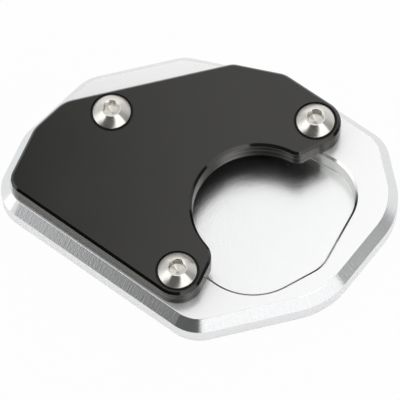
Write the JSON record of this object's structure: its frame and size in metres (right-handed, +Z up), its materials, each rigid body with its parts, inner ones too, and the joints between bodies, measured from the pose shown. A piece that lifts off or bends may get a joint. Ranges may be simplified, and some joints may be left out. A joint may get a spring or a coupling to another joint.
{
  "type": "kickstand foot enlarger",
  "caption": "Bevelled foot plate that widens a motorbike side stand, with a pocket for the stand's foot and a clamp plate with a C-shaped gap, held on by button-head screws.",
  "frame": {"origin": "middle of the bounding box, on the flat underside of the base plate", "axes": "+Z up, +X along the long straight side of the base plate towards the open end of the C-shaped gap"},
  "size_m": [0.0936, 0.0756, 0.0159],
  "materials": {
    "bright_aluminium": "machined, satin",
    "black_anodised": "black anodised, satin",
    "stainless_steel": "turned, polished"
  },
  "bodies": {
    "root": {"base_plate": "bright_aluminium", "clamp_plate": "black_anodised", "clamp_screws": "stainless_steel"}
  },
  "joints": []
}
